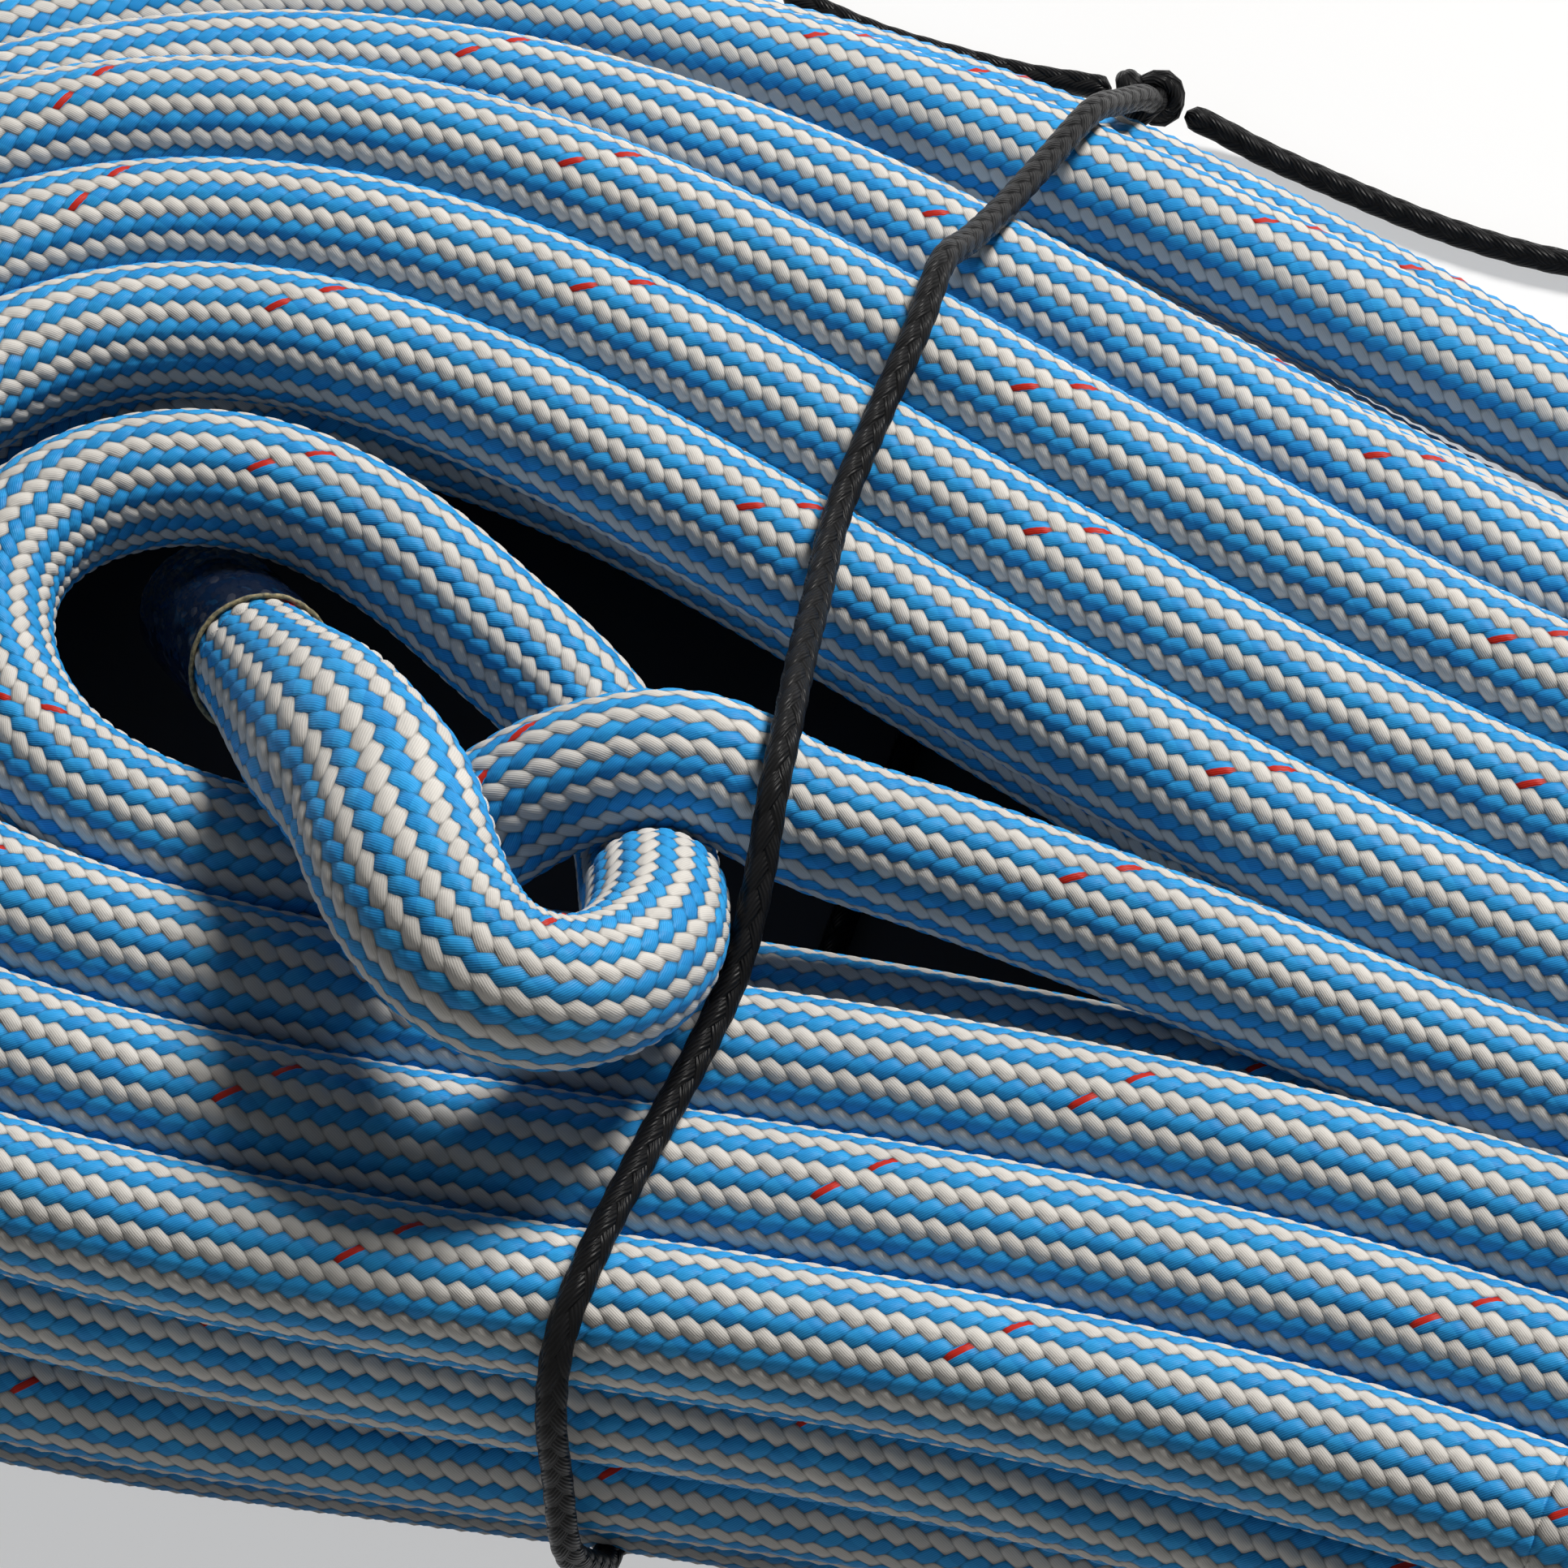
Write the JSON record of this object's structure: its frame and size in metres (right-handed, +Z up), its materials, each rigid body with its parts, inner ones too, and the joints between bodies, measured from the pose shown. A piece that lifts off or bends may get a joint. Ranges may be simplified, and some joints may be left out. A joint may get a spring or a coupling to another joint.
{
  "type": "dynamic climbing rope",
  "caption": "Sheathed dynamic climbing rope in a long narrow coil, bound near one bight with thin cord, its top end tucked in a loose half hitch.",
  "frame": {"origin": "on the floor under the middle of the coiled rope", "axes": "+X along the coil, away from the bight with the small half hitch; +Z up"},
  "size_m": [0.4002, 0.1728, 0.0597],
  "materials": {
    "rope_sheath": "braided polyamide, blue and white, slight sheen",
    "rope_core": "twisted white polyamide yarn",
    "fused_tip": "melted and cut",
    "clear_sleeve": "clear shrink film, glossy",
    "tie_cord": "fine black plaited cord with waxy highlights"
  },
  "bodies": {
    "root": {"rope_coil": "rope_sheath", "rope_lead": "rope_sheath", "lead_end_sheath": "rope_sheath", "lead_end_core_1": "rope_core", "lead_end_core_2": "rope_core", "lead_end_core_3": "rope_core", "lead_end_core_4": "rope_core", "lead_end_core_5": "rope_core", "lead_end_core_6": "rope_core", "lead_end_core_7": "rope_core", "lead_end_core_8": "rope_core", "lead_end_core_9": "rope_core", "lead_end_core_10": "rope_core", "lead_end_core_11": "rope_core", "lead_end_core_12": "rope_core", "lead_end_tip": "fused_tip", "lead_end_sleeve": "clear_sleeve", "rope_start": "rope_sheath", "start_end_sheath": "rope_sheath", "start_end_core_1": "rope_core", "start_end_core_2": "rope_core", "start_end_core_3": "rope_core", "start_end_core_4": "rope_core", "start_end_core_5": "rope_core", "start_end_core_6": "rope_core", "start_end_core_7": "rope_core", "start_end_core_8": "rope_core", "start_end_core_9": "rope_core", "start_end_core_10": "rope_core", "start_end_core_11": "rope_core", "start_end_core_12": "rope_core", "start_end_tip": "fused_tip", "start_end_sleeve": "clear_sleeve", "tie_cord": "tie_cord", "tie_short_end": "tie_cord", "tie_long_end": "tie_cord", "tie_knot": "tie_cord"}
  },
  "joints": []
}
